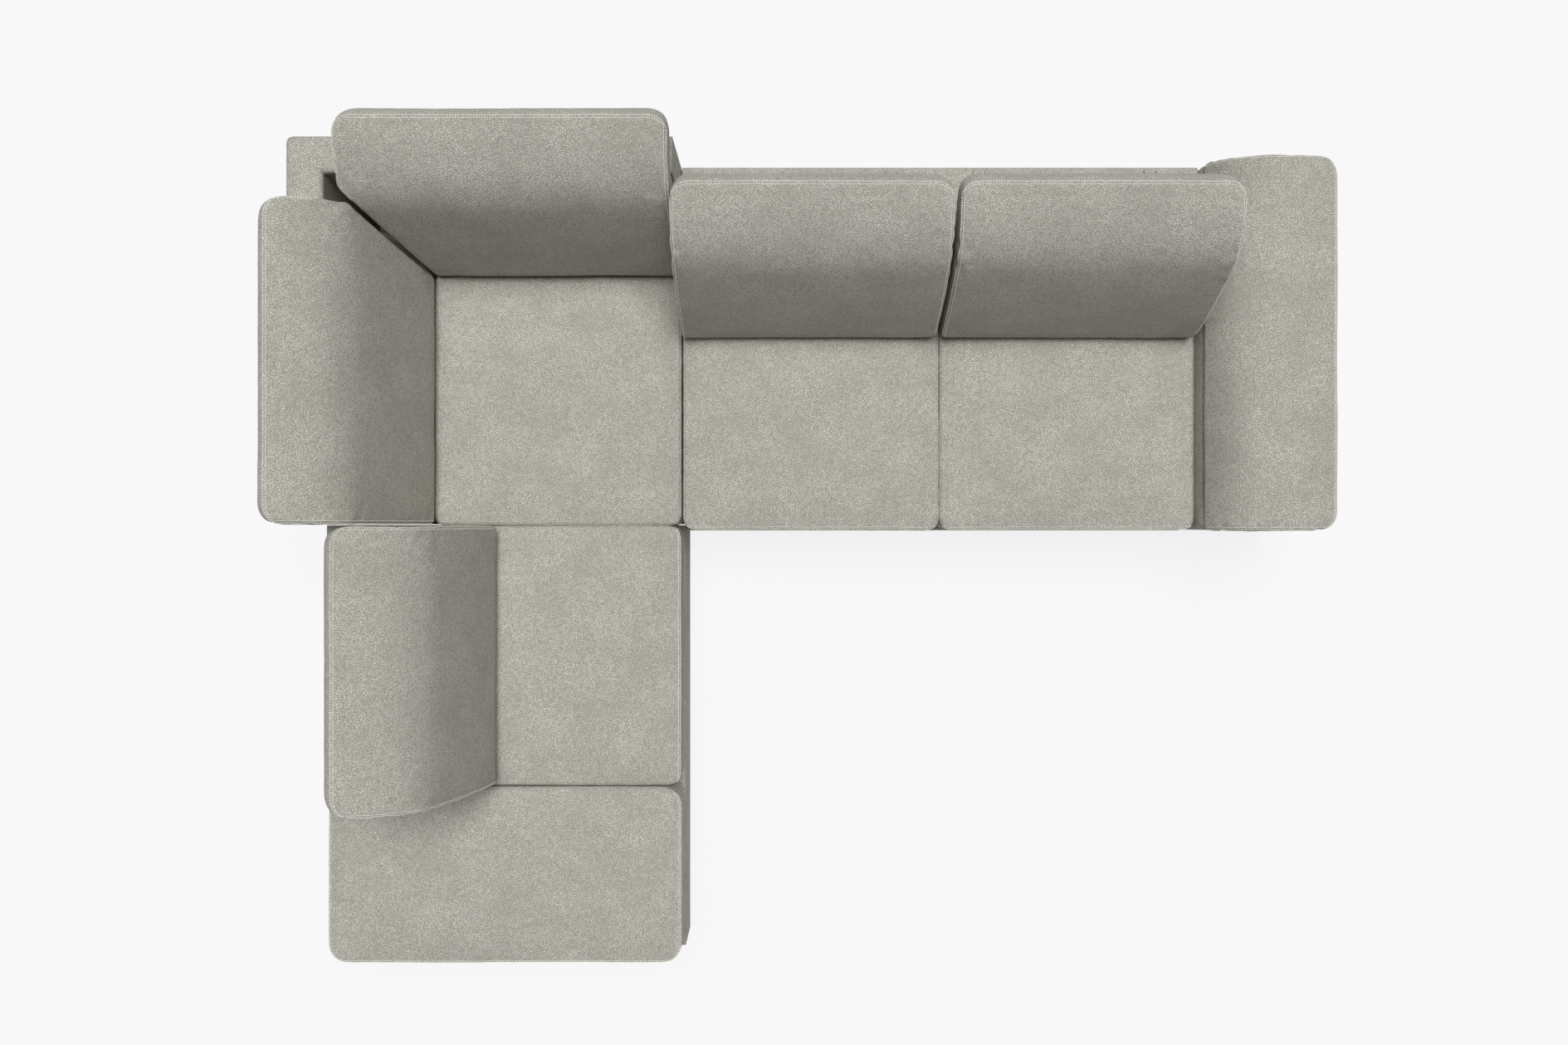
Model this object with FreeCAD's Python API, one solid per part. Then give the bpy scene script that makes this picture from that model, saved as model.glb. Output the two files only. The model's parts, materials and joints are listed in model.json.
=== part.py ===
"""Sectional sofa with a corner seat and a chaise.

Each back carries a headrest that folds on hinges. Three backs slide rearwards over a ledge to deepen
the seat, and the top pad of the arm folds up. Millimetres, Z up, X to the right when facing the row
from the front, Y to the rear. The origin is the centre of the overall box, on the floor.
"""
import FreeCAD, Part
import os
from math import acos, asin, atan2, cos, hypot, pi, radians, sin

Vector = FreeCAD.Vector

# Plan sizes
corner_width = 959.0
corner_depth = 965.0
seat_width = 696.0
seats_in_row = 2
arm_width = 333.0
row_depth = 982.0
chaise_seat_length = 706.0
chaise_end_length = 484.0
module_gap = 3.0
cushion_gap = 1.5

# Heights
foot_height = 50.0
dust_cover_thickness = 2.0
deck_height = 250.0
webbing_thickness = 2.0
seat_height = 440.0
seat_crown = 9.0
seat_edge_radius = 24.0
seat_front_bulge = 5.0
row_seat_setback = 6.0
crown_at_end = 0.2
seat_shoulder = 60.0
corner_seat_under = 12.0
ledge_height = 455.0
corner_wall_height = 790.0

# Backs: depth is from the rear face to the seat, for a back at the end of its slide
back_depth = 298.0
slide_travel = 168.0
back_width = 680.0
back_gap = 15.0
chaise_back_width = 692.0
side_clearance = 2.0
ridge_height = 903.0
roll_radius = 55.0
headrest_angle = 20.0
headrest_turn = 52.0
recline_row = 148.0
recline_corner = 130.0
recline_chaise = 108.0
reach_row = 201.0
reach_rear = 208.0
reach_side = 201.0
reach_chaise = 228.0
pad_over_ledge = 4.0
pad_over_seat = 6.0
pad_toe_radius = 26.0
pad_end_draw = 9.0
pad_end_run = 14.0
corner_rear_past = 9.0
corner_side_short = 14.0
front_bulge_radius = 2300.0
board_thickness = 18.0
board_margin = 70.0
board_below_roll = 17.5

# Headrests and the arm's top pad
cushion_top_radius = 34.0
cushion_under_radius = 26.0
cushion_taper = 8.0
cushion_lip = 3.0
cushion_crown = 7.0
arm_shoulder_height = 497.0
arm_ridge_height = 603.0
arm_ridge_inset = 58.0
arm_roll_radius = 45.0
arm_pad_angle = 1.5
arm_pad_turn = 55.0
arm_setback = 9.0
arm_skin = 30.0
arm_rear_setback = 4.0
arm_front_setback = 3.0

# Clearances
fold_clearance = 0.8
rest_clearance = 0.4
fit_clearance = 0.2
seat_clearance = 0.3
cut_past = 1.0

# Hinges
hinge_inset = 130.0
hinge_plate = 3.0
hinge_flange = 34.0
hinge_flange_length = 60.0
hinge_eye_radius = 17.0
hinge_pin_radius = 5.0
hinge_pin_clearance = 0.06
hinge_pin_past = 2.0
hinge_arm_half = 7.0
hinge_slot_width = 40.0
hinge_slot_margin = 4.0
hinge_slot_reach = 11.0
hinge_slot_heel = 6.0
hinge_arm_eye = 16.0
flap_board_start = 14.0
flap_board = 12.0

# Slides
rail_width = 44.0
rail_wall = 2.0
rail_height = 13.0
rail_lip = 11.0
rail_setback = 44.0
rail_end_gap = 12.0
rail_inset = 110.0
runner_clearance = 0.3
runner_plate = 4.0
runner_lift = 1.0

# Base
frame_wall = 22.0
cover_panel = 18.0
panel_radius = 7.0
ledge_skin = 30.0
ledge_radius = 14.0
corner_post_radius = 26.0
strap_width = 70.0
strap_spacing = 130.0
foot_top = 60.0
foot_sole = 48.0
foot_inset = 80.0
connector_width = 60.0
connector_length = 100.0
connector_low = 88.0
connector_step = 37.0
connector_places = (0.25, 0.75)

# The overall box gives the place of the corner's two outer faces
side_overhang = recline_corner + reach_side - back_depth
rear_overhang = recline_corner + reach_rear - back_depth
row_width = seats_in_row * seat_width
overall_width = side_overhang + corner_width + module_gap + row_width + arm_width
overall_depth = rear_overhang + corner_depth + module_gap + chaise_seat_length + chaise_end_length
left_x = side_overhang - overall_width / 2
rear_y = overall_depth / 2 - rear_overhang

row_x = left_x + corner_width + module_gap
arm_x = row_x + row_width
right_x = arm_x + arm_width
front_y = rear_y - row_depth
arm_length = row_depth - arm_rear_setback - arm_front_setback
corner_x = left_x + corner_width
corner_y = rear_y - corner_depth
chaise_y = corner_y - module_gap
chaise_split_y = chaise_y - chaise_seat_length
chaise_end_y = chaise_split_y - chaise_end_length
sliding_depth = back_depth + slide_travel
frame_bottom = foot_height + dust_cover_thickness
cushion_bottom = deck_height + webbing_thickness + seat_clearance
ledge_depth = back_depth - rail_setback + rail_end_gap
channel_front = slide_travel + rail_setback
channel_length = sliding_depth - rail_end_gap - channel_front
runner_front = rail_setback + rail_end_gap
runner_length = back_depth - rail_end_gap / 2 - runner_front

parts = {}


# Outlines

def closed_wire(to_space, start, steps):
    """Wire from start through steps: (end,) is a line, (middle, end) an arc; it closes with a line."""
    edges = []
    here = to_space(*start)
    for step in steps:
        there = to_space(*step[-1])
        if len(step) == 1:
            edges.append(Part.makeLine(here, there))
        else:
            edges.append(Part.Arc(here, to_space(*step[0]), there).toShape())
        here = there
    if here.distanceToPoint(to_space(*start)) > 1e-6:
        edges.append(Part.makeLine(here, to_space(*start)))
    return Part.Wire(edges)


def across(x):
    """Places an outline of (y, z) points in the upright plane at x."""
    return lambda y, z: Vector(x, y, z)


def level(z):
    """Places an outline of (x, y) points in the level plane at z."""
    return lambda x, y: Vector(x, y, z)


def prism(wire, run):
    return Part.Face(wire).extrude(run)


def box(x0, x1, y0, y1, z0, z1):
    return Part.makeBox(x1 - x0, y1 - y0, z1 - z0, Vector(x0, y0, z0))


def polar(centre, radius, angle):
    return (centre[0] + radius * cos(angle), centre[1] + radius * sin(angle))


def arc_step(centre, radius, start, end):
    """Arc step about a centre, from the angle start to the angle end."""
    return (polar(centre, radius, (start + end) / 2), polar(centre, radius, end))


def loft(wires):
    return Part.makeLoft(wires, True, True)


# The fold between a back and its headrest, or between the arm and its top pad

class Fold:
    """Roll under a folded flap, in the upright plane of a unit: y to the rear, z up.

    The roll touches the face below the ridge and the top of the flap, so that the cover runs on over it.
    """

    def __init__(self, foot, ridge, roll, flap_angle, turn, reach):
        self.foot = foot
        self.roll = roll
        self.flap = radians(flap_angle)
        self.turn = radians(turn)
        self.reach = reach
        self.ridge = ridge
        face = atan2(ridge[1] - foot[1], ridge[0] - foot[0])
        face_normal = (-sin(face), cos(face))
        flap_normal = (-sin(self.flap), cos(self.flap))
        spread = 1 + cos(face - self.flap)
        self.pivot = (
            ridge[0] - roll * (face_normal[0] + flap_normal[0]) / spread,
            ridge[1] - roll * (face_normal[1] + flap_normal[1]) / spread,
        )

    def point(self, along, above):
        """Point of the folded flap, from along its length and above its middle."""
        return (
            self.pivot[0] + along * cos(self.flap) - above * sin(self.flap),
            self.pivot[1] + along * sin(self.flap) + above * cos(self.flap),
        )

    def shelf_end(self, rear):
        """End of the shelf that the folded flap rests on, at a distance behind the pivot."""
        along = (rear - self.roll * sin(self.flap)) / cos(self.flap)
        return self.point(along, -self.roll)

    def flap_length(self, under_radius):
        """Length of the flap from the pivot, so that its end stands at the reach behind the ridge."""
        rise = self.end_under() + under_radius
        span = self.ridge[0] + self.reach - self.pivot[0] - under_radius + rise * sin(self.flap)
        return under_radius + span / cos(self.flap)

    def end_under(self):
        """Underside of the flap at its tapered end."""
        return cushion_taper - self.roll

    def board_top(self):
        """Top of the board below the roll."""
        return self.pivot[1] - self.roll - board_below_roll

    def roll_steps(self, meet, draw):
        """Arcs over the roll from the face to the shelf; draw pulls them in, but not at the shelf."""
        split = self.flap + self.turn / 2
        shelf = self.flap - pi / 2
        return [
            arc_step(self.pivot, self.roll - draw, meet, split),
            (polar(self.pivot, self.roll - draw / 2, (split + shelf) / 2), polar(self.pivot, self.roll, shelf)),
        ]


def lower_outline(fold, bottom, rear, draw):
    """Steps of a lower cushion: toe, bulged face, roll, shelf and rear; draw pulls the outline in."""
    roll = fold.roll - draw
    foot = (fold.foot[0] + draw, bottom + pad_toe_radius)
    away = (fold.pivot[0] - foot[0], fold.pivot[1] - foot[1])
    reach = front_bulge_radius - roll
    lean = (away[0] ** 2 + away[1] ** 2 + reach ** 2 - front_bulge_radius ** 2) / (2 * reach)
    meet = atan2(away[1], away[0]) + acos(lean / hypot(*away))
    centre = polar(fold.pivot, -reach, meet)
    foot_angle = atan2(foot[1] - centre[1], foot[0] - centre[0]) % (2 * pi)
    shelf_rear = fold.shelf_end(rear - draw)
    toe = pad_toe_radius
    start = (foot[0] + toe, bottom)
    steps = [
        (polar((foot[0] + toe, bottom + toe), toe, 5 * pi / 4), foot),
        (polar(centre, front_bulge_radius, (foot_angle + meet) / 2), polar(fold.pivot, roll, meet)),
        *fold.roll_steps(meet, draw),
        (shelf_rear,),
        ((fold.pivot[0] + rear - draw, bottom),),
    ]
    return start, steps


def flap_outline(fold, draw, crown):
    """Steps of a flap cushion: hollow end round the roll, crowned top, rounded end and underside."""
    hollow = fold.roll + fold_clearance
    length = fold.flap_length(cushion_under_radius) - draw
    top = fold.roll - draw
    lip = asin((top - cushion_lip) / hollow)
    under = fold.roll - rest_clearance
    heel = -asin(under / hollow)
    lip_along = hollow * cos(lip)
    top_radius = min(cushion_top_radius, length / 2)
    end_top = top - cushion_taper / 2
    under_radius = cushion_under_radius
    end_under = fold.end_under()
    middle = (lip_along + length - top_radius) / 2
    corner = (length - top_radius, end_top - top_radius)
    under_corner = (length - under_radius, end_under + under_radius)
    place = fold.point
    diagonal = pi / 4
    start = place(hollow * cos(heel), hollow * sin(heel))
    steps = [
        (place(hollow * cos((lip + heel) / 2), hollow * sin((lip + heel) / 2)),
         place(lip_along, hollow * sin(lip))),
        (place(lip_along, top),),
        (place(middle, (top + end_top) / 2 + crown), place(length - top_radius, end_top)),
        (place(*polar(corner, top_radius, diagonal)), place(length, corner[1])),
        (place(length, under_corner[1]),),
        (place(*polar(under_corner, under_radius, -diagonal)), place(under_corner[0], end_under)),
    ]
    return start, steps


def drawn_loft(outline, x0, x1):
    """Cushion from x0 to x1 whose two ends are drawn in."""
    stations = (
        (x0, pad_end_draw), (x0 + pad_end_run, 0.0), (x1 - pad_end_run, 0.0), (x1, pad_end_draw))
    return loft([closed_wire(across(x), *outline(draw)) for x, draw in stations])


# Hinges: a bracket on the lower board, a pin through its eye, and an arm on the flap's board

def hinge_places(width):
    return (hinge_inset - width / 2, width / 2 - hinge_inset)


def disc(x0, x1, centre, radius):
    return Part.makeCylinder(radius, x1 - x0, Vector(x0, *centre), Vector(1, 0, 0))


def hinge_bracket(fold, x):
    """Eye plate and flange behind the board, with the hinge's pin standing out of the eye."""
    back = fold.pivot[0] + board_thickness / 2
    top = fold.board_top()
    low = top - hinge_flange_length - hinge_plate
    eye = hinge_eye_radius
    stem = eye - hinge_plate
    leg = closed_wire(across(x - hinge_plate), polar(fold.pivot, eye, pi), [
        ((back, top + hinge_plate),),
        ((back, low),),
        ((back + stem, low),),
        ((back + stem, top),),
        (polar(fold.pivot, eye, 0.0),),
        (polar(fold.pivot, eye, pi / 3),),
        (polar(fold.pivot, eye, 2 * pi / 3),),
    ])
    plate = prism(leg, Vector(hinge_plate, 0, 0))
    flange = box(x - hinge_flange / 2, x + hinge_flange / 2, back, back + hinge_plate, low, top - hinge_plate)
    pin_end = x + seat_clearance + hinge_plate + hinge_pin_past
    pin = disc(x - hinge_plate, pin_end, fold.pivot, hinge_pin_radius)
    return plate.fuse([flange, pin]).removeSplitter()


def hinge_arm(fold, x):
    """Arm beside the eye plate, with a flange under the flap's board."""
    x0 = x + seat_clearance
    half = hinge_arm_half
    eye = hinge_arm_eye
    start = fold.roll + flap_board_start
    end = start + hinge_flange_length - hinge_plate
    bar = closed_wire(across(x0), fold.point(0, -eye), [
        (fold.point(start / 2, -half),),
        (fold.point(start, -half),),
        (fold.point(end, half - hinge_plate),),
        (fold.point(end, half),),
        (fold.point(start / 2, half),),
        (fold.point(0, eye),),
        (fold.point(-eye, half),),
        (fold.point(-eye, -half),),
    ])
    flange_start = fold.point(start, half)
    flange = closed_wire(across(x - hinge_flange / 2), flange_start, [
        (fold.point(end, half),),
        (fold.point(end, half + hinge_plate),),
        (fold.point(start, half + hinge_plate),),
    ])
    arm = prism(bar, Vector(hinge_plate, 0, 0)).fuse(prism(flange, Vector(hinge_flange, 0, 0))).removeSplitter()
    hole = disc(x - cut_past, x + 2 * hinge_plate, fold.pivot, hinge_pin_radius + hinge_pin_clearance)
    return arm.cut(hole)


def bracket_room(fold, x):
    """Room for the bracket's leg below the pivot."""
    hub = hinge_eye_radius + hinge_slot_margin
    back = fold.pivot[0] + board_thickness / 2 + hinge_eye_radius
    low = fold.board_top() - hinge_flange_length - 2 * hinge_plate
    x0 = x - hinge_slot_width / 2
    return box(x0, x0 + hinge_slot_width, fold.pivot[0] - hub, back, low, fold.pivot[1])


def hinge_slot(fold, x):
    """Room in the lower cushion for the bracket, and for the arm over its whole turn."""
    x0 = x - hinge_slot_width / 2
    run = Vector(hinge_slot_width, 0, 0)
    far = fold.roll + hinge_slot_reach
    half = hinge_arm_half + hinge_slot_margin
    hub = hinge_eye_radius + hinge_slot_margin
    first = fold.flap
    last = fold.flap + fold.turn

    def beside(angle, along, side):
        return (
            fold.pivot[0] + along * cos(angle) - side * sin(angle),
            fold.pivot[1] + along * sin(angle) + side * cos(angle))

    fan = closed_wire(across(x0), beside(first, 0.0, -hub), [
        (beside(first, far / 2, -half),),
        (beside(first, far, -half),),
        (beside((first + last) / 2, far, 0.0),),
        (beside(last, far, half),),
        (beside(last, far / 2, half),),
        (beside(last, 0.0, hub),),
        (beside((first + last) / 2, -hub - hinge_slot_heel, 0.0),),
    ])
    return prism(fan, run).fuse(bracket_room(fold, x))


def flap_pocket(fold, x):
    """Room in the flap cushion for the hinge arm, open to the hollow end."""
    x0 = x - hinge_slot_width / 2
    end = fold.roll + flap_board_start + hinge_flange_length
    half = hinge_arm_half + hinge_slot_margin / 2
    wire = closed_wire(across(x0), fold.point(0, -half), [
        (fold.point(end, -half),),
        (fold.point(end, hinge_arm_half + hinge_plate),),
        (fold.point(0, hinge_arm_half + hinge_plate),),
    ])
    return prism(wire, Vector(hinge_slot_width, 0, 0))


def flap_board_solid(fold, x0, x1, spare):
    """Board of the flap, or with spare its pocket."""
    low = hinge_arm_half + hinge_plate - spare
    start = fold.roll + flap_board_start - spare
    end = fold.flap_length(cushion_under_radius) - cushion_top_radius + spare
    wire = closed_wire(across(x0 - spare), fold.point(start, low), [
        (fold.point(end, low),),
        (fold.point(end, low + flap_board + 2 * spare),),
        (fold.point(start, low + flap_board + 2 * spare),),
    ])
    return prism(wire, Vector(x1 - x0 + 2 * spare, 0, 0))


def placed(shape, place):
    moved = shape.copy()
    moved.Placement = place.multiply(moved.Placement)
    return moved


def facing(x, y, angle):
    """Placement of a unit whose front middle is at x, y; angle turns its rear from +Y."""
    return FreeCAD.Placement(Vector(x, y, 0), FreeCAD.Rotation(Vector(0, 0, 1), angle))


def add_flap(name, pad_name, fold, x0, x1, places, place):
    """Cushion, board and hinge arms of a headrest or of the arm's top pad."""
    pad = drawn_loft(lambda draw: flap_outline(fold, draw, cushion_crown), x0, x1)
    b0 = x0 + board_margin
    b1 = x1 - board_margin
    pockets = [flap_board_solid(fold, b0, b1, fit_clearance)]
    pockets += [flap_pocket(fold, x) for x in places]
    pockets += [bracket_room(fold, x) for x in places]
    pad = pad.cut(pockets)
    parts[pad_name] = placed(pad, place)
    parts[name + "_board"] = placed(flap_board_solid(fold, b0, b1, 0.0), place)
    parts[name + "_arms"] = placed(Part.makeCompound([hinge_arm(fold, x) for x in places]), place)


# Slides

def channel(x):
    """Fixed channel on the ledge, with lips that hold the runner down."""
    half = rail_width / 2
    inner = half - rail_wall
    slot = inner - rail_lip + rail_wall
    low = ledge_height
    high = ledge_height + rail_height
    wire = closed_wire(lambda px, pz: Vector(x + px, channel_front, pz), (-half, low), [
        ((half, low),),
        ((half, high),),
        ((slot, high),),
        ((slot, high - rail_wall),),
        ((inner, high - rail_wall),),
        ((inner, low + rail_wall),),
        ((-inner, low + rail_wall),),
        ((-inner, high - rail_wall),),
        ((-slot, high - rail_wall),),
        ((-slot, high),),
        ((-half, high),),
    ])
    return prism(wire, Vector(0, channel_length, 0))


def runner(x):
    """Runner bar in the channel, with its neck and the plate that carries the frame board."""
    inner = rail_width / 2 - rail_wall
    bar = inner - runner_clearance
    neck = inner - rail_lip + rail_wall - runner_clearance
    low = ledge_height + rail_wall + runner_clearance
    shoulder = ledge_height + rail_height - rail_wall - runner_clearance
    top = ledge_height + rail_height + runner_lift
    wire = closed_wire(lambda px, pz: Vector(x + px, runner_front, pz), (-bar, low), [
        ((bar, low),),
        ((bar, shoulder),),
        ((neck, shoulder),),
        ((neck, top),),
        ((bar, top),),
        ((bar, top + runner_plate),),
        ((-bar, top + runner_plate),),
        ((-bar, top),),
        ((-neck, top),),
        ((-neck, shoulder),),
        ((-bar, shoulder),),
    ])
    return prism(wire, Vector(0, runner_length, 0))


def rail_places(width):
    return (rail_inset - width / 2, width / 2 - rail_inset)


# Backs

def frame_panel(fold, x0, x1, low):
    """Plywood board with two windows."""
    y0 = fold.pivot[0] - board_thickness / 2
    top = fold.board_top()
    panel = box(x0, x1, y0, y0 + board_thickness, low, top)
    rail = board_margin
    middle = (x0 + x1) / 2
    window_top = top - hinge_flange_length - rail / 2
    for w0, w1 in ((x0 + rail, middle - rail / 2), (middle + rail / 2, x1 - rail)):
        panel = panel.cut(box(w0, w1, y0, y0 + board_thickness, low + rail, window_top))
    return panel


def add_back(name, fold, x0, x1, flap_x0, flap_x1, bottom, board_bottom, rear, slides, mitres, place):
    """Six nodes of one back: cushion, frame board, brackets, headrest cushion, its board and its arms."""
    width = x1 - x0
    middle = (x0 + x1) / 2
    places = [middle + x for x in hinge_places(width)]
    b0 = x0 + board_margin
    b1 = x1 - board_margin
    y0 = fold.pivot[0] - board_thickness / 2
    pad = drawn_loft(lambda draw: lower_outline(fold, bottom, rear, draw), x0, x1)
    pockets = [hinge_slot(fold, x) for x in places] + mitres
    pockets.append(box(
        b0 - fit_clearance, b1 + fit_clearance, y0 - fit_clearance, y0 + board_thickness + fit_clearance,
        bottom - cut_past, fold.board_top() + fit_clearance))
    frame = frame_panel(fold, b0, b1, board_bottom)
    if slides:
        rails = [middle + x for x in rail_places(width)]
        frame = frame.fuse([runner(x) for x in rails])
        tunnel = rail_width / 2 + pad_over_ledge
        tunnel_top = board_bottom + fit_clearance
        tunnel_front = rail_setback - pad_over_ledge
        pockets += [
            box(x - tunnel, x + tunnel, tunnel_front, fold.pivot[0] + rear + cut_past,
                bottom - cut_past, tunnel_top)
            for x in rails]
        rail_shapes.extend(placed(channel(x), place) for x in rails)
    parts["back_" + name + "_pad"] = placed(pad.cut(pockets), place)
    parts["back_" + name + "_frame"] = placed(frame, place)
    brackets = Part.makeCompound([hinge_bracket(fold, x) for x in places])
    parts["back_" + name + "_brackets"] = placed(brackets, place)
    add_flap("headrest_" + name, "headrest_" + name + "_pad", fold, flap_x0, flap_x1, places, place)


def back_fold(recline, reach):
    return Fold((0.0, seat_height), (recline, ridge_height), roll_radius, headrest_angle, headrest_turn, reach)


rail_shapes = []
sliding_bottom = ledge_height + pad_over_ledge
sliding_board = ledge_height + rail_height + runner_lift + runner_plate
fixed_bottom = seat_height + pad_over_seat
sliding_rear = roll_radius
fixed_rear = board_thickness / 2 + hinge_eye_radius + pad_over_ledge

row_fold = back_fold(recline_row, reach_row)
rear_fold = back_fold(recline_corner, reach_rear)
side_fold = back_fold(recline_corner, reach_side)
chaise_fold = back_fold(recline_chaise, reach_chaise)

row_back_y = rear_y - sliding_depth
half = back_width / 2
middle_back_x = row_x + side_clearance + half
right_back_x = middle_back_x + back_width + back_gap
for name, x in (("middle", middle_back_x), ("right", right_back_x)):
    add_back(name, row_fold, -half, half, -half, half, sliding_bottom, sliding_board, sliding_rear,
             True, [], facing(x, row_back_y, 0))

half = chaise_back_width / 2
chaise_back_y = chaise_y - side_clearance - half
add_back("chaise", chaise_fold, -half, half, -half, half, sliding_bottom, sliding_board, sliding_rear,
         True, [], facing(left_x + sliding_depth, chaise_back_y, 90))

# The corner's two back cushions meet in a mitre on the line from the seat's corner to the outer corner

corner_seat_x = left_x + back_depth
corner_seat_y = rear_y - back_depth
corner_ridge_x = corner_seat_x - recline_corner
corner_ridge_y = corner_seat_y + recline_corner


def mitre_wedge(corner, side):
    """Room beyond the mitre through corner, in a unit's own frame; side is -1 left and 1 right."""
    reach = corner_width
    start = corner - side * side_clearance / 2
    wedge = closed_wire(level(0), (start, 0), [
        ((start + side * reach, reach),),
        ((start + side * reach, -reach),),
        ((start - side * reach, -reach),),
    ])
    return prism(wedge, Vector(0, 0, ridge_height + roll_radius))


x0 = corner_ridge_x - corner_rear_past
x1 = corner_x - side_clearance
half = (x1 - x0) / 2
middle = (x0 + x1) / 2
add_back("corner_rear", rear_fold, -half, half, -half, half, fixed_bottom, deck_height, fixed_rear,
         False, [mitre_wedge(corner_seat_x - middle, -1)], facing(middle, corner_seat_y, 0))

y0 = corner_y + side_clearance
y1 = corner_ridge_y - corner_side_short
half = (y1 - y0) / 2
middle = (y0 + y1) / 2
add_back("corner_side", side_fold, -half, half, -half, half, fixed_bottom, deck_height, fixed_rear,
         False, [mitre_wedge(corner_seat_y - middle, 1)], facing(corner_seat_x, middle, 90))


# Seat cushions

def seat_outline(depth, draw, crown):
    """Steps of a seat cushion from front to rear: bulged front, rolled edges, crowned top."""
    low = cushion_bottom
    high = seat_height - draw
    edge = seat_edge_radius
    foot = seat_edge_radius / 2
    front = draw
    rear = depth - draw
    start = (front + foot, low)
    steps = [
        ((front, low + foot),),
        ((front - seat_front_bulge, (low + foot + high - edge) / 2), (front, high - edge)),
        (polar((front + edge, high - edge), edge, 3 * pi / 4), (front + edge, high)),
        (((front + rear) / 2, high + crown), (rear - edge, high)),
        (polar((rear - edge, high - edge), edge, pi / 4), (rear, high - edge)),
        ((rear, low),),
    ]
    return start, steps


def add_seat(name, width, depth, place):
    """Seat cushion with its front middle at the placement."""
    half = width / 2 - cushion_gap / 2
    stations = (
        (-half, pad_end_draw, seat_crown * crown_at_end),
        (seat_shoulder - half, 0.0, seat_crown),
        (half - seat_shoulder, 0.0, seat_crown),
        (half, pad_end_draw, seat_crown * crown_at_end),
    )
    wires = [closed_wire(across(x), *seat_outline(depth, draw, crown)) for x, draw, crown in stations]
    parts[name] = placed(loft(wires), place)


row_seat_y = front_y + row_seat_setback
row_seat_depth = rear_y - ledge_depth - cushion_gap - row_seat_y
add_seat("seat_middle", seat_width, row_seat_depth, facing(row_x + seat_width / 2, row_seat_y, 0))
add_seat("seat_right", seat_width, row_seat_depth, facing(row_x + seat_width * 1.5, row_seat_y, 0))

x0 = corner_seat_x - corner_seat_under
y1 = corner_seat_y + corner_seat_under
add_seat("seat_corner", corner_x - x0, y1 - corner_y, facing((x0 + corner_x) / 2, corner_y + cushion_gap, 0))

x0 = left_x + ledge_depth + cushion_gap
y0 = (chaise_split_y + chaise_y) / 2
x1 = corner_x - seat_front_bulge
add_seat("seat_chaise", chaise_seat_length, x1 - x0, facing(x1, y0, 90))
x0 = (left_x + corner_x) / 2
y0 = chaise_end_y + seat_front_bulge
add_seat("seat_chaise_end", corner_width, chaise_split_y - cushion_gap - y0, facing(x0, y0, 0))


# Base frames: open boxes of board with cross walls

def cells(start, end, count):
    """Spans between count - 1 cross walls from start to end."""
    pitch = (end - start + frame_wall) / count
    return [(start + i * pitch, start + (i + 1) * pitch - frame_wall) for i in range(count)]


def box_frame(x0, x1, y0, y1, low, high, across_count, deep_count):
    frame = box(x0, x1, y0, y1, low, high)
    hollows = []
    for cx0, cx1 in cells(x0 + frame_wall, x1 - frame_wall, across_count):
        for cy0, cy1 in cells(y0 + frame_wall, y1 - frame_wall, deep_count):
            hollows.append(box(cx0, cx1, cy0, cy1, low - cut_past, high + cut_past))
    return frame.cut(hollows)


def ledge_outline(depth):
    """Steps of an upholstered ledge in its own plane, from its seat side to the outer face."""
    r = ledge_radius
    top = ledge_height
    return (0.0, deck_height), [
        ((0.0, top - r),),
        (polar((r, top - r), r, 3 * pi / 4), (r, top)),
        ((depth - r, top),),
        (polar((depth - r, top - r), r, pi / 4), (depth, top - r)),
        ((depth, foot_height),),
        ((depth - ledge_skin, foot_height),),
        ((depth - ledge_skin, top - ledge_skin),),
        ((ledge_skin, top - ledge_skin),),
        ((ledge_skin, deck_height),),
    ]


def panel(place, length, thickness, high):
    """Padded outer panel with a rounded top edge, its outer face at y = 0 of the placement."""
    r = panel_radius
    wire = closed_wire(across(-length / 2), (0.0, foot_height), [
        ((0.0, high - r),),
        (polar((r, high - r), r, 3 * pi / 4), (r, high)),
        ((thickness, high),),
        ((thickness, foot_height),),
    ])
    return placed(prism(wire, Vector(length, 0, 0)), place)


ledge_y = rear_y - ledge_depth
row_middle_x = (row_x + arm_x) / 2
frame_y = front_y + cover_panel
row_base = box_frame(row_x, arm_x, frame_y, rear_y - ledge_skin, frame_bottom, deck_height, 4, 3)
row_ledge_box = box(row_x, arm_x, ledge_y + ledge_skin, rear_y - ledge_skin, deck_height, ledge_height - ledge_skin)
row_ledge_hollow = box(
    row_x + frame_wall, arm_x - frame_wall, ledge_y + ledge_skin + frame_wall,
    rear_y - ledge_skin - frame_wall, deck_height - cut_past, ledge_height - ledge_skin - frame_wall)
parts["row_frame"] = row_base.fuse(row_ledge_box.cut(row_ledge_hollow))
parts["row_front_panel"] = panel(facing(row_middle_x, front_y, 0), row_width, cover_panel, deck_height)
row_ledge = prism(closed_wire(across(-row_width / 2), *ledge_outline(ledge_depth)), Vector(row_width, 0, 0))
parts["row_rear_panel"] = placed(row_ledge, facing(row_middle_x, ledge_y, 0))

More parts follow.
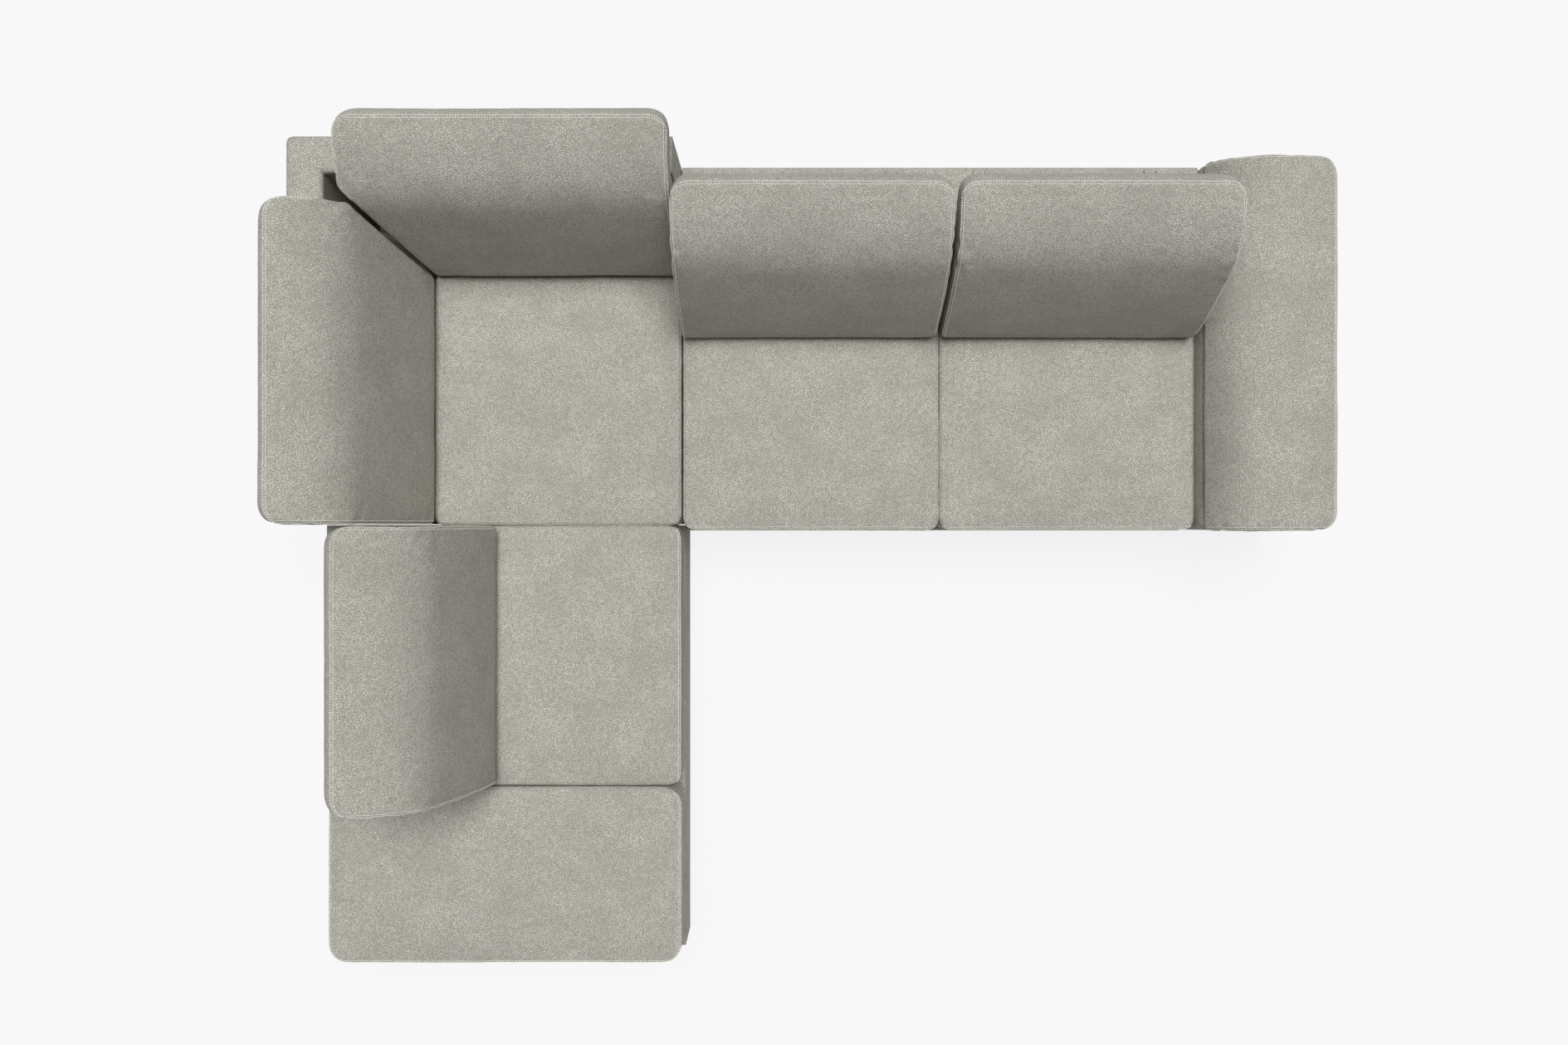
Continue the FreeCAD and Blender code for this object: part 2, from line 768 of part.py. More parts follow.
chaise_length = chaise_seat_length + chaise_end_length
chaise_middle_y = (chaise_y + chaise_split_y) / 2
skin_x = left_x + ledge_skin
chaise_base = box_frame(
    skin_x, corner_x - cover_panel, chaise_end_y + cover_panel, chaise_y, frame_bottom, deck_height, 3, 4)
ledge_box = box(
    skin_x, left_x + ledge_depth - ledge_skin, chaise_split_y, chaise_y, deck_height, ledge_height - ledge_skin)
ledge_hollow = box(
    skin_x + frame_wall, left_x + ledge_depth - ledge_skin - frame_wall, chaise_split_y + frame_wall,
    chaise_y - frame_wall, deck_height - cut_past, ledge_height - ledge_skin - frame_wall)
parts["chaise_frame"] = chaise_base.fuse(ledge_box.cut(ledge_hollow))
chaise_ledge = prism(
    closed_wire(across(-chaise_seat_length / 2), *ledge_outline(ledge_depth)), Vector(chaise_seat_length, 0, 0))
parts["chaise_ledge"] = placed(chaise_ledge, facing(left_x + ledge_depth, chaise_middle_y, 90))
end_middle_y = (chaise_split_y + chaise_end_y + cover_panel) / 2
parts["chaise_outer_panel"] = panel(
    facing(left_x, end_middle_y, -90), chaise_end_length - cover_panel, ledge_skin, deck_height)
parts["chaise_inner_panel"] = panel(
    facing(corner_x, (chaise_y + chaise_end_y + cover_panel) / 2, 90), chaise_length - cover_panel,
    cover_panel, deck_height)
parts["chaise_end_panel"] = panel(
    facing((left_x + corner_x) / 2, chaise_end_y, 0), corner_width, cover_panel, deck_height)


# Corner: walls behind the two fixed backs, mitred and rounded at the outer corner

wall_depth = back_depth - rear_fold.pivot[0] - fixed_rear
wall_x = left_x + wall_depth
wall_y = rear_y - wall_depth


def wall_outline():
    r = ledge_radius
    top = corner_wall_height
    return (0.0, foot_height), [
        ((0.0, top - r),),
        (polar((r, top - r), r, 3 * pi / 4), (r, top)),
        ((wall_depth - r, top),),
        (polar((wall_depth - r, top - r), r, pi / 4), (wall_depth, top - r)),
        ((wall_depth, foot_height),),
    ]


def corner_wall(length, side):
    """Wall of the corner from its free end to the outer corner, which lies on side -1 left or 1 right."""
    wire = closed_wire(across(-length / 2), *wall_outline())
    wall = prism(wire, Vector(length, 0, 0))
    past = cut_past
    far = side * (length / 2 + past)
    near = side * (length / 2 - wall_depth - past)
    mitre = closed_wire(level(0), (far, wall_depth + past), [((far, -past),), ((near, -past),)])
    return wall.cut(prism(mitre, Vector(0, 0, corner_wall_height + past)))


r = corner_post_radius
inset = (left_x + r, rear_y - r)
rounding = closed_wire(level(0), (left_x, corner_y), [
    ((left_x, rear_y - r),),
    (polar(inset, r, 3 * pi / 4), (left_x + r, rear_y)),
    ((corner_x, rear_y),),
    ((corner_x, corner_y),),
])
outer_shape = prism(rounding, Vector(0, 0, corner_wall_height + cut_past))
rear_wall = placed(corner_wall(corner_width, -1), facing((left_x + corner_x) / 2, wall_y, 0))
side_wall = placed(corner_wall(corner_depth, 1), facing(wall_x, (corner_y + rear_y) / 2, 90))
parts["corner_rear_wall"] = rear_wall.common(outer_shape)
parts["corner_side_wall"] = side_wall.common(outer_shape)
parts["corner_frame"] = box_frame(
    wall_x, corner_x, corner_y, wall_y, frame_bottom, deck_height, 3, 3)


# Arm: padded body over a box frame, with the folding top pad

arm_fold = Fold(
    (0.0, arm_shoulder_height), (arm_ridge_inset, arm_ridge_height), arm_roll_radius, arm_pad_angle,
    arm_pad_turn, arm_width - arm_ridge_inset)
arm_outer = arm_width - arm_setback
arm_middle_y = rear_y - arm_rear_setback - arm_length / 2
arm_place = facing(arm_x, arm_middle_y, -90)


def arm_outline(draw):
    """Steps of the arm's body: upright inner side, sloping shoulder, roll, shelf, outer side."""
    fold = arm_fold
    roll = fold.roll - draw
    face = atan2(fold.ridge[1] - fold.foot[1], fold.ridge[0] - fold.foot[0])
    meet = face + pi / 2
    outer = arm_outer - draw
    steps = [
        ((draw, fold.foot[1]),),
        (polar(fold.pivot, roll, meet),),
        *fold.roll_steps(meet, draw),
        (fold.shelf_end(outer - fold.pivot[0]),),
        ((outer, foot_height),),
    ]
    return (draw, foot_height), steps


half = arm_length / 2
places = hinge_places(arm_length)
board_y = arm_fold.pivot[0] - board_thickness / 2
board_top = arm_fold.board_top()
outer_y = arm_outer - arm_skin
x0 = arm_skin - half
x1 = half - arm_skin
arm_hollow = box(x0, x1, board_y, outer_y, foot_height - cut_past, board_top)
arm_body = drawn_loft(arm_outline, -half, half)
slots = [hinge_slot(arm_fold, x) for x in places]
parts["arm_body"] = placed(arm_body.cut([arm_hollow] + slots), arm_place)
arm_box = box(x0, x1, board_y, outer_y, frame_bottom, board_top)
arm_inside = box(
    x0 + board_thickness, x1 - board_thickness, board_y + board_thickness, outer_y - board_thickness,
    frame_bottom - cut_past, board_top - board_thickness)
bracket_notches = [
    box(x - hinge_slot_width / 2, x + hinge_slot_width / 2, board_y + board_thickness,
        board_y + board_thickness + 2 * hinge_eye_radius, board_top - 2 * hinge_flange_length,
        board_top + cut_past)
    for x in places]
parts["arm_frame"] = placed(arm_box.cut([arm_inside] + bracket_notches), arm_place)
parts["arm_brackets"] = placed(Part.makeCompound([hinge_bracket(arm_fold, x) for x in places]), arm_place)
add_flap("arm_pad", "arm_pad", arm_fold, -half, half, places, arm_place)


# Webbing, dust covers, feet, rails and the plates that join the modules

def straps_over(x0, x1, y0, y1):
    """Straps from front to rear over an open frame, evenly spaced."""
    count = int((x1 - x0) // strap_spacing)
    pitch = (x1 - x0) / count
    low = deck_height
    high = deck_height + webbing_thickness
    middles = [x0 + (i + 0.5) * pitch for i in range(count)]
    return [box(x - strap_width / 2, x + strap_width / 2, y0, y1, low, high) for x in middles]


webbing = straps_over(row_x, arm_x, frame_y, ledge_y)
webbing += straps_over(corner_seat_x, corner_x, corner_y, corner_seat_y)
webbing += straps_over(left_x + ledge_depth, corner_x - cover_panel, chaise_split_y + frame_wall, chaise_y)
webbing += straps_over(skin_x, corner_x - cover_panel, chaise_end_y + cover_panel, chaise_split_y)
parts["webbing_straps"] = Part.makeCompound(webbing)

parts["dust_covers"] = Part.makeCompound([
    box(row_x, arm_x, frame_y, rear_y - ledge_skin, foot_height, frame_bottom),
    placed(box(x0, x1, board_y, outer_y, foot_height, frame_bottom), arm_place),
    box(wall_x, corner_x, corner_y, wall_y, foot_height, frame_bottom),
    box(skin_x, corner_x - cover_panel, chaise_end_y + cover_panel, chaise_y, foot_height, frame_bottom),
])

foot_spots = []
for x in (row_x + foot_inset, arm_x - foot_inset / 2, arm_x + arm_outer - foot_inset):
    for y in (front_y + foot_inset, rear_y - foot_inset):
        foot_spots.append((x, y))
for x in (wall_x + foot_inset / 2, corner_x - foot_inset):
    for y in (corner_y + foot_inset, wall_y - foot_inset / 2):
        foot_spots.append((x, y))
for x in (skin_x + foot_inset / 2, corner_x - foot_inset):
    for y in (chaise_y - foot_inset, chaise_end_y + foot_inset):
        foot_spots.append((x, y))


def foot(x, y):
    """Square tapered block."""
    around = ((-1, -1), (1, -1), (1, 1), (-1, 1))
    sole, top = [
        [Vector(x + half_side * i, y + half_side * j, z) for i, j in around]
        for z, half_side in ((0.0, foot_sole / 2), (foot_height, foot_top / 2))]
    sides = [sole, top]
    for i in range(4):
        sides.append([sole[i - 1], sole[i], top[i], top[i - 1]])
    faces = [Part.Face(Part.makePolygon(corners + corners[:1])) for corners in sides]
    return Part.makeSolid(Part.makeShell(faces))


parts["feet"] = Part.makeCompound([foot(x, y) for x, y in foot_spots])

parts["slide_rails"] = Part.makeCompound(rail_shapes)


def connector(x, y, angle):
    """Two plates that lap in the gap between modules, one on each side wall."""
    plate = (module_gap - fit_clearance) / 2
    half_width = connector_width / 2
    lower = box(-half_width, half_width, -plate, 0.0, connector_low, connector_low + connector_length)
    raised = connector_low + connector_step
    upper = box(-half_width, half_width, 0.0, plate, raised, raised + connector_length)
    return [placed(shape, facing(x, y, angle)) for shape in (lower, upper)]


gap_x = corner_x + module_gap / 2
gap_y = corner_y - module_gap / 2
plates = []
for share in connector_places:
    plates += connector(gap_x, corner_y + share * (wall_y - corner_y), 90)
    plates += connector(wall_x + share * (corner_x - wall_x), gap_y, 0)
parts["module_connectors"] = Part.makeCompound(plates)


os.makedirs("parts", exist_ok=True)
for name, shape in parts.items():
    shape.exportStep(os.path.join("parts", name + ".step"))
print(len(parts), "nodes")
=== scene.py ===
# Looks of a sectional sofa with a corner seat and a chaise. Metres, in the frame of its solids.
# Each back and its headrest share one cover that bends at the fold; the arm's pad and body have their own.
import json
import math
from collections import namedtuple
from math import acos, atan2, cos, hypot, pi, radians, sin, sqrt

import bmesh
import bpy
from mathutils import Matrix, Vector, noise
from mathutils.bvhtree import BVHTree


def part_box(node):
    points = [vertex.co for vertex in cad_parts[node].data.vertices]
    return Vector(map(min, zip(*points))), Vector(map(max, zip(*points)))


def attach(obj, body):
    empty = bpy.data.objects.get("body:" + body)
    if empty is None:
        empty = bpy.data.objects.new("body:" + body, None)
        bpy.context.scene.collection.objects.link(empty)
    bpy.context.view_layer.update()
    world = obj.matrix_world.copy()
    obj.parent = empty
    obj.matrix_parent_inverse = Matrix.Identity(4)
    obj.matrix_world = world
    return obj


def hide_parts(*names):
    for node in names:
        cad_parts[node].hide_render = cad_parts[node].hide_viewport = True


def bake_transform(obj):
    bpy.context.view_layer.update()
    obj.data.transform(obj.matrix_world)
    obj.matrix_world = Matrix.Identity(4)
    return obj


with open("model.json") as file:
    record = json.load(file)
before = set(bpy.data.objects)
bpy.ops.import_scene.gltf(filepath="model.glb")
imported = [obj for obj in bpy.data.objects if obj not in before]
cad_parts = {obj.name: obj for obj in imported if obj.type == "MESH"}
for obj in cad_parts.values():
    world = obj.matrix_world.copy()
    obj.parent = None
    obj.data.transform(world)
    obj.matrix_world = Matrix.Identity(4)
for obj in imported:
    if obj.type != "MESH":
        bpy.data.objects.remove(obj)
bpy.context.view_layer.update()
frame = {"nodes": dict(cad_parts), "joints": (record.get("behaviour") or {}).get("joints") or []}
nodes = frame["nodes"]

# All covers
cell = 0.016             # distance between the points of a cover
groove_depth = 0.0022    # how far a seam is drawn in
motion_cap = 0.005       # the most that the inflation moves a point
inflation_frames = 20
waves = ((6.0, 0.0016), (19.0, 0.0006))    # (scale per metre, height) of the soft waves
pucker_scale = 42.0
pucker_height = 0.004

# Stitches
stitch_pitch = 0.0063
stitch_length = 0.0046
thread_radius = 0.00095
straight_share = 0.7     # of a stitch's length, the rest is its two ends
end_scale = 0.45         # how far a stitch narrows to its ends
stitch_rise = 0.6        # height of a stitch's middle over the skin, in thread radii

# Covers of the backs and the arm's pad
edge_radius = 0.012      # rounding of the side edges
side_angles = (0, 13, 26, 38, 45, 52, 64, 77, 90)    # degrees round that edge, with the seam at 45
side_distances = (0.02, 0.031, 0.045, 0.061)         # then from the side inwards
cap_steps = ((0.006, 0.4), (0.011, 0.8))             # (inset past the edge, share of the side's slack)
plan_radius = 0.045      # rounding of the flap's end, seen from above
softening = 14           # rounds that ease the outline
softening_margin = 4     # points that it leaves alone at either end
flap_taper = 0.008
flap_crown = 0.007
flap_top_radius = 0.034
flap_under_radius = 0.026
seam_spacing = 0.004     # from the flap's seam to its stitches
fold_reach = 0.04        # distance from the hinge to a point on either side of it, worked out at the fold but not used
fold_lean = 5            # degrees that the back leans from upright where it bends
pucker_field = 0.11      # puckers end this far from the side
pucker_ring = 0.05       # they are strongest this far from the hinge
pucker_spread = 0.12     # and end this far from there

# Ranks of the rings over a side, counted from the seam: positive outside it, negative inside
cap_rank = 5
near_rank = -5
field_rank = -9
stitch_ranks = (-2, 2)

# Seat covers
seat_crown = 0.016
seat_proud = 0.001       # the crown's top over the solid's top
seat_rim = 0.013         # rounding of the upper and lower edge
seat_swell = 0.002
least_corner = 0.006
rim_angles = (16, 31, 39, 46, 53, 61, 76, 90)    # degrees round the upper edge
seam_angle = 46
stitch_angles = (31, 61)
boxing_shares = (0.2, 0.4, 0.6, 0.8)
facing = 0.6             # the least cosine between a sewn side's direction and its points'
seat_pucker = 0.12       # share of the puckers all over a seat
crown_powers = (5, 4)    # across and along, higher is flatter in the middle


# Materials

def hex_colour(code):
    """Linear colour of an sRGB hex value."""
    channels = [int(code[i:i + 2], 16) / 255 for i in (1, 3, 5)]
    return tuple(c / 12.92 if c <= 0.04045 else ((c + 0.055) / 1.055) ** 2.4 for c in channels) + (1.0,)


def add_node(tree, kind, inputs, **settings):
    """Adds a node with its settings; each input is a value, or the socket that feeds it."""
    node = tree.nodes.new(kind)
    for name, value in settings.items():
        setattr(node, name, value)
    for name, value in inputs.items():
        if isinstance(value, bpy.types.NodeSocket):
            tree.links.new(value, node.inputs[name])
        else:
            node.inputs[name].default_value = value
    return node


def new_material(name):
    material = bpy.data.materials.new(name)
    material.use_nodes = True
    material.node_tree.nodes.clear()
    return material, material.node_tree


def two_tone(tree, factor, first, second):
    """Mix of two colours, each a value or a socket; a Mix node has its colour sockets at 6, 7 and 2."""
    mix = add_node(tree, "ShaderNodeMix", {"Factor": factor, 6: first, 7: second}, data_type="RGBA")
    return mix.outputs[2]


def surface(tree, colour, height, depth, **values):
    """Principled surface with a bump of that depth in metres, linked to the output."""
    bump = add_node(tree, "ShaderNodeBump", {"Height": height, "Distance": depth, "Strength": 0.8})
    inputs = {name.replace("_", " "): value for name, value in values.items()}
    inputs.update({"Base Color": colour, "Normal": bump.outputs["Normal"]})
    shader = add_node(tree, "ShaderNodeBsdfPrincipled", inputs)
    add_node(tree, "ShaderNodeOutputMaterial", {"Surface": shader.outputs["BSDF"]})


def make_cover():
    """Microfibre with a leather look: pebbles about 5 mm across, brushed into soft lighter patches, with
    painted shade darkening the hollows between the pebbles.

    The real pebbles are finer, about 2 mm; they are drawn coarser so that they show.
    """
    material, tree = new_material("leather_look_microfibre")
    place = add_node(tree, "ShaderNodeTexCoord", {}).outputs["Object"]
    drift = add_node(tree, "ShaderNodeTexNoise", {"Vector": place, "Scale": 90.0, "Detail": 2.0})
    bent = add_node(tree, "ShaderNodeVectorMath", {0: drift.outputs["Color"], 1: (0.006, 0.006, 0.006)},
                    operation="MULTIPLY")
    moved = add_node(tree, "ShaderNodeVectorMath", {0: place, 1: bent.outputs["Vector"]}, operation="ADD")
    pebbles = add_node(tree, "ShaderNodeTexVoronoi", {"Vector": moved.outputs["Vector"], "Scale": 205.0},
                       feature="DISTANCE_TO_EDGE")
    rounded = add_node(tree, "ShaderNodeMapRange", {"Value": pebbles.outputs["Distance"], "From Max": 0.22},
                       interpolation_type="SMOOTHSTEP")
    patches = add_node(tree, "ShaderNodeTexNoise", {"Vector": place, "Scale": 9.0, "Detail": 3.0})
    flecks = add_node(tree, "ShaderNodeTexNoise", {"Vector": place, "Scale": 70.0, "Detail": 4.0})
    blend = add_node(tree, "ShaderNodeMath", {0: patches.outputs["Fac"], 1: flecks.outputs["Fac"]},
                     operation="ADD")
    share = add_node(tree, "ShaderNodeMapRange",
                     {"Value": blend.outputs["Value"], "From Min": 0.78, "From Max": 1.22})
    brushed = two_tone(tree, share.outputs["Result"], hex_colour("#BAB7AD"), hex_colour("#CFCCC2"))
    # Painted shade: the hollows between the pebbles are darkened towards #959289 where the relief is lowest
    hollow_shaded = two_tone(tree, rounded.outputs["Result"], hex_colour("#959289"), brushed)
    surface(tree, hollow_shaded, rounded.outputs["Result"], 0.0011,
            Roughness=0.68, Sheen_Weight=0.06, Sheen_Roughness=0.5, Specular_IOR_Level=0.35)
    return material


def make_thread():
    """Polyester sewing thread, off-white, mottled by the twist of its plies."""
    material, tree = new_material("polyester_thread")
    place = add_node(tree, "ShaderNodeTexCoord", {}).outputs["Object"]
    plies = add_node(tree, "ShaderNodeTexNoise", {"Vector": place, "Scale": 900.0})
    colour = two_tone(tree, plies.outputs["Fac"], hex_colour("#E4E1D8"), hex_colour("#F6F4EE"))
    surface(tree, colour, plies.outputs["Fac"], 0.0001, Roughness=0.6)
    return material


cover = make_cover()
thread = make_thread()


# Outlines of the folded covers: v runs to the rear from the seat's line, z up

def line(start, end):
    """Points from start towards end, without end."""
    count = max(1, round(math.dist(start, end) / cell))
    return [tuple(a + (b - a) * i / count for a, b in zip(start, end)) for i in range(count)]


def on_circle(centre, radius, angle):
    return centre[0] + radius * cos(angle), centre[1] + radius * sin(angle)


def arc(centre, radius, start, end):
    """Points on an arc from start towards end, without end."""
    count = max(3, round(abs(end - start) * radius / cell))
    return [on_circle(centre, radius, start + (end - start) * i / count) for i in range(count)]


def inward(points):
    """Inward normals of a closed clockwise outline."""
    normals = []
    for i in range(len(points)):
        before = points[i - 1]
        after = points[(i + 1) % len(points)]
        run = Vector((after[0] - before[0], after[1] - before[1])).normalized()
        normals.append((run[1], -run[0]))
    return normals


class FoldedCover:
    """Closed outline round a cushion and its folded flap, clockwise.

    A front face from foot to ridge, a roll round the hinge's pivot, and a flap that rises by an angle
    and ends at reach behind the ridge. A kind of cover adds its own part below the face (below), the
    face with the angle where the roll takes over (front), and the way back from the flap (back_way).
    toe_end, ridge and crease are the points where the face, the flap's top and the way back begin, and
    seam is the seam's point between the two rows of stitches, row_a and row_b.
    """

    def __init__(self, foot, ridge, roll, flap_angle, reach, end_seam):
        flap = radians(flap_angle)
        face = atan2(ridge[1] - foot[1], ridge[0] - foot[0])
        spread = 1 + cos(face - flap)
        self.foot = foot
        self.face = face
        self.roll = roll
        self.flap = flap
        self.pivot = (
            ridge[0] + roll * (sin(face) + sin(flap)) / spread,
            ridge[1] - roll * (cos(face) + cos(flap)) / spread)
        end_under = flap_taper - roll
        span = (ridge[0] + reach - self.pivot[0] - flap_under_radius
                + (end_under + flap_under_radius) * sin(flap))
        self.length = flap_under_radius + span / cos(flap)
        points = self.below()
        self.toe_end = len(points)
        face_points, meet = self.front()
        points += face_points
        points += arc(self.pivot, roll, meet, flap + pi / 2)
        self.ridge = len(points)
        points += self.flap_top()
        self.row_a, self.seam, self.row_b = (len(points) + k for k in (2, 4, 6))
        points += self.flap_end(radians(end_seam), end_under)
        hollow, way = self.back_way()
        points += line(self.place(self.length - flap_under_radius, end_under), hollow)
        self.crease = len(points)
        points += way
        self.points = self.eased(points)
        self.normals = inward(self.points)

    def place(self, along, above):
        """Place of a spot given along the flap and above its middle."""
        return (
            self.pivot[0] + along * cos(self.flap) - above * sin(self.flap),
            self.pivot[1] + along * sin(self.flap) + above * cos(self.flap))

    def flap_top(self):
        """Crowned top of the flap, up to its rounded end."""
        run = self.length - flap_top_radius
        count = round(run / cell)
        shares = [i / count for i in range(count)]
        return [self.place(t * run, self.roll - t * flap_taper / 2 + 4 * flap_crown * t * (1 - t))
                for t in shares]

    def flap_end(self, seam, end_under):
        """Rounded end with its seam at that angle, two points from the stitches on either side."""
        step = seam_spacing / flap_top_radius
        corner = (self.length - flap_top_radius, self.roll - flap_taper / 2 - flap_top_radius)
        under = (self.length - flap_under_radius, end_under + flap_under_radius)
        angles = [pi / 2, (pi / 2 + seam + step) / 2, seam + step, seam + step / 2, seam,
                  seam - step / 2, seam - step, (seam - step) / 2]
        points = [self.place(*on_circle(corner, flap_top_radius, a)) for a in angles]
        points += line(self.place(self.length, corner[1]), self.place(self.length, under[1]))
        points += [self.place(*on_circle(under, flap_under_radius, -i * pi / 8)) for i in range(4)]
        return points

    def eased(self, points):
        """The points with the bends between toe and flap's end softened."""
        for _ in range(softening):
            softer = points[:]
            for i in range(self.toe_end + softening_margin, self.row_a - softening_margin):
                near = zip(points[i - 1], points[i], points[i + 1])
                softer[i] = tuple((a + 2 * b + c) / 4 for a, b, c in near)
            points = softer
        return points

    def shifted(self, k, inset, side_distance):
        """Point k, pulled in by inset, with the flap's end rounded in plan near a side."""
        v, z = self.points[k]
        along = (v - self.pivot[0]) * cos(self.flap) + (z - self.pivot[1]) * sin(self.flap)
        if self.ridge <= k < self.crease and side_distance < plan_radius:
            near = plan_radius - max(side_distance, 0.0)
            back = plan_radius - sqrt(plan_radius ** 2 - near ** 2)
            start = self.length - 2 * plan_radius
            share = min(max((along - start) / (2 * plan_radius), 0.0), 1.0)
            v -= back * share * cos(self.flap)
            z -= back * share * sin(self.flap)
        return v + self.normals[k][0] * inset, z + self.normals[k][1] * inset


class BackCover(FoldedCover):
    """A back and its headrest: a bulging front over a rounded toe, and a level underside."""
    foot_height = 0.44
    ridge_height = 0.903
    toe = 0.026
    face_radius = 2.3
    rise_start = 0.040    # the underside lies lift higher from here to the rear, over the rails

    def __init__(self, recline, reach, bottom, behind, lift):
        self.bottom = bottom
        self.lifted = bottom + lift
        self.behind = behind
        super().__init__((0.0, self.foot_height), (recline, self.ridge_height), roll=0.055,
                         flap_angle=20.0, reach=reach, end_seam=52)

    def below(self):
        rear = (self.pivot[0] + self.behind, self.lifted)
        rise = (self.rise_start, self.lifted)
        toe_centre = (self.toe, self.bottom + self.toe)
        return line(rear, rise) + line(rise, (self.toe, self.bottom)) + arc(
            toe_centre, self.toe, 3 * pi / 2, pi)

    def front(self):
        """The face as an arc that starts over the toe and runs into the roll without a corner."""
        start = (0.0, self.bottom + self.toe)
        away = (self.pivot[0] - start[0], self.pivot[1] - start[1])
        inner = self.face_radius - self.roll
        lean = (away[0] ** 2 + away[1] ** 2 + inner ** 2 - self.face_radius ** 2) / (2 * inner)
        meet = atan2(away[1], away[0]) + acos(lean / hypot(*away))
        centre = (self.pivot[0] - inner * cos(meet), self.pivot[1] - inner * sin(meet))
        first = atan2(start[1] - centre[1], start[0] - centre[0]) % (2 * pi)
        return arc(centre, self.face_radius, first, meet), meet

    def back_way(self):
        rear = self.pivot[0] + self.behind
        along = (rear - self.pivot[0] - self.roll * sin(self.flap)) / cos(self.flap)
        crease = self.place(along, -self.roll)
        return crease, line(crease, (rear, self.lifted))


class ArmPadCover(FoldedCover):
    """The arm's top pad: a plain shoulder in front of the roll, and a heel behind the pivot."""
    heel_along = 0.020
    heel_above = 0.002

    def __init__(self, knee, ridge, reach):
        super().__init__((0.0, knee), ridge, roll=0.045, flap_angle=1.5, reach=reach, end_seam=50)

    def below(self):
        return []

    def front(self):
        meet = self.face + pi / 2
        return line(self.foot, on_circle(self.pivot, self.roll, meet)), meet

    def back_way(self):
        heel = self.place(self.heel_along, self.heel_above - self.roll)
        return heel, line(heel, self.foot)


class ArmBody:
    """Closed outline of the arm below its shoulder and under its top pad, without a stitched seam."""
    shelf_depth = 0.046    # from the pivot down to the shelf under the pad
    knee_bevel = (0.004, 0.002)

    def __init__(self, pivot, knee, outer, bottom, toe):
        self.pivot = pivot
        shelf = pivot[1] - self.shelf_depth
        across, up = self.knee_bevel
        points = line((outer - toe, bottom), (toe, bottom))
        self.toe_end = len(points)
        points += line((0.0, bottom + toe), (0.0, knee - up))
        points += line((across, knee + up), (pivot[0], shelf))
        points += line((pivot[0], shelf), (outer - toe, shelf))
        points += line((outer, shelf - toe), (outer, bottom + toe))
        self.points = points
        self.normals = inward(points)
        self.row_a = self.seam = self.row_b = len(points)

    def shifted(self, k, inset, side_distance):
        return tuple(a + b * inset for a, b in zip(self.points[k], self.normals[k]))


# Cushion covers

def ring_edges(bm, ring):
    return [bm.edges.get((ring[i - 1], ring[i])) for i in range(len(ring))]


def ring_after(bm, ring):
    """Extrudes a closed ring of vertices and returns the new ring in the same order."""
    made = bmesh.ops.extrude_edge_only(bm, edges=ring_edges(bm, ring))["geom"]
    fresh = {g for g in made if isinstance(g, bmesh.types.BMVert)}
    following = []
    for vert in ring:
        following.append(next(e.other_vert(vert) for e in vert.link_edges if e.other_vert(vert) in fresh))
    return following


def close(bm, ring):
    bmesh.ops.triangle_fill(bm, use_beauty=True, edges=ring_edges(bm, ring))


def number_points(bm):
    """Turns the faces outwards and gives every vertex its number."""
    bmesh.ops.recalc_face_normals(bm, faces=bm.faces)
    bm.verts.index_update()


def puffed(bm, pinned, name):
    """Object of the cage after a short inflation against its seams, with the motion capped."""
    bm.verts.index_update()
    mesh = bpy.data.meshes.new(name)
    bm.to_mesh(mesh)
    obj = bpy.data.objects.new(name, mesh)
    bpy.context.scene.collection.objects.link(obj)
    group = obj.vertex_groups.new(name="sewn")
    group.add(sorted(pinned), 1.0, "REPLACE")
    cloth = obj.modifiers.new("inflate", "CLOTH")
    cloth.settings.quality = 4
    cloth.settings.use_pressure = True
    cloth.settings.uniform_pressure_force = 4.0
    cloth.settings.effector_weights.gravity = 0.0
    cloth.settings.vertex_group_mass = "sewn"
    cloth.settings.shrink_min = -0.012
    cloth.collision_settings.use_collision = False
    cloth.point_cache.frame_start = 1
    cloth.point_cache.frame_end = inflation_frames
    scene = bpy.context.scene
    for step in range(1, inflation_frames + 1):
        scene.frame_set(step)
    rested = obj.evaluated_get(bpy.context.evaluated_depsgraph_get()).to_mesh()
    moves = [b.co - a.co for a, b in zip(mesh.vertices, rested.vertices)]
    obj.modifiers.clear()
    scene.frame_set(1)
    for vert, move in zip(mesh.vertices, moves):
        if move.length > 0:
            vert.co += move * (motion_cap / (motion_cap + move.length))
    return obj


def refine(obj, puckers):
    """Subdivides the cover once and lays soft waves and puckers on it."""
    smooth = obj.modifiers.new("smooth", "SUBSURF")
    smooth.levels = 1
    smooth.render_levels = 1
    mesh = bpy.data.meshes.new_from_object(obj.evaluated_get(bpy.context.evaluated_depsgraph_get()))
    obj.modifiers.clear()
    obj.data = mesh
    mesh.name = obj.name
    moved = []
    for vert in mesh.vertices:
        wave = sum(noise.noise(vert.co * scale) * height for scale, height in waves)
        wave += puckers(vert.co) * noise.noise(vert.co * pucker_scale) * pucker_height
        moved.extend(vert.co + vert.normal * wave)
    mesh.vertices.foreach_set("co", moved)
    mesh.shade_smooth()
    mesh.materials.clear()
    mesh.materials.append(cover)


def points_of(obj, rows):
    return [[obj.data.vertices[i].co.copy() for i in row] for row in rows]


def resampled(points, pitch):
    """Evenly spaced (point, direction) along a polyline."""
    spots = []
    carried = pitch / 2
    for start, end in zip(points, points[1:]):
        run = end - start
        length = run.length
        if length < 1e-6:
            continue
        while carried < length:
            spots.append((start + run * (carried / length), run / length))
            carried += pitch
        carried -= length
    return spots


